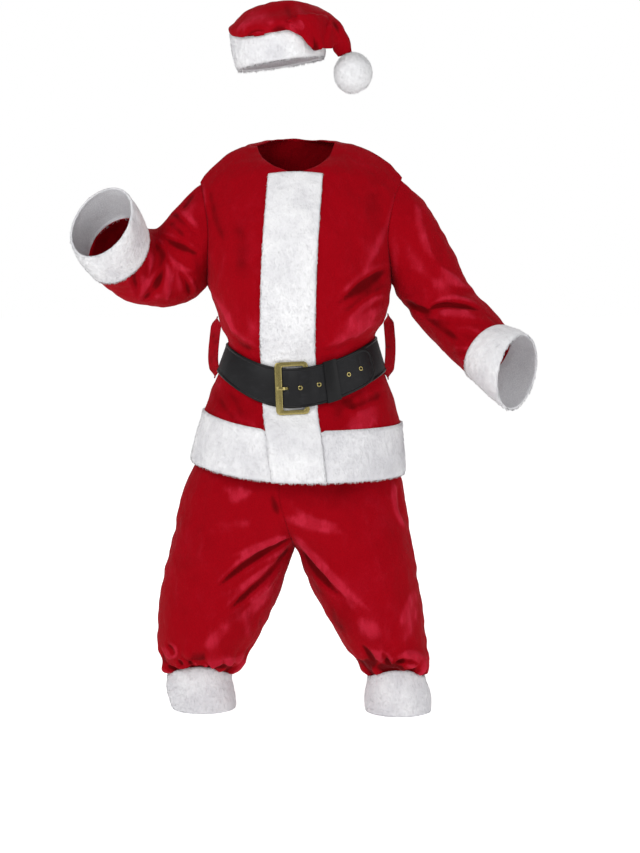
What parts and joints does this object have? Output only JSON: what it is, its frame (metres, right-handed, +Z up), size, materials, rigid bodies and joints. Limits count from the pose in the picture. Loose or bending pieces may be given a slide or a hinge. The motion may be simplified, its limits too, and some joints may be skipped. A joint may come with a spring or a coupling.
{
  "type": "santa suit",
  "caption": "Worn plush costume set: fur-trimmed jacket with a wide buckled belt, knee-length trousers gathered into fur cuffs, and a drooping hat with a pompom.",
  "frame": {"origin": "middle of the wearer's shoulders, at the base of the neck, where the jacket is carried", "axes": "+Z up, -Y to the front of the suit, +X to the wearer's left"},
  "size_m": [0.9934, 0.3628, 1.518],
  "materials": {
    "plush_red": "soft short-pile plush",
    "fur_white": "long-pile white fur",
    "belt_black": "satin imitation leather",
    "gold": "polished, gold coloured"
  },
  "bodies": {
    "root": {"jacket_front_left": "plush_red", "jacket_front_right": "plush_red", "jacket_back": "plush_red", "sleeve_left": "plush_red", "sleeve_right": "plush_red", "belt_loop_left": "plush_red", "belt_loop_right": "plush_red", "trouser_front_left": "plush_red", "trouser_front_right": "plush_red", "trouser_back_left": "plush_red", "trouser_back_right": "plush_red", "trouser_waistband": "plush_red", "hat_crown": "plush_red", "front_band": "fur_white", "hem_band_front_left": "fur_white", "hem_band_front_right": "fur_white", "hem_band_back": "fur_white", "sleeve_cuff_left": "fur_white", "sleeve_cuff_right": "fur_white", "knee_cuff_left": "fur_white", "knee_cuff_right": "fur_white", "hat_brim": "fur_white", "hat_pompom": "fur_white", "belt_strap": "belt_black", "belt_keeper": "belt_black", "buckle_frame": "gold", "buckle_prong": "gold", "belt_eyelet_1": "gold", "belt_eyelet_2": "gold", "belt_eyelet_3": "gold", "belt_eyelet_4": "gold", "belt_eyelet_5": "gold"}
  },
  "joints": []
}
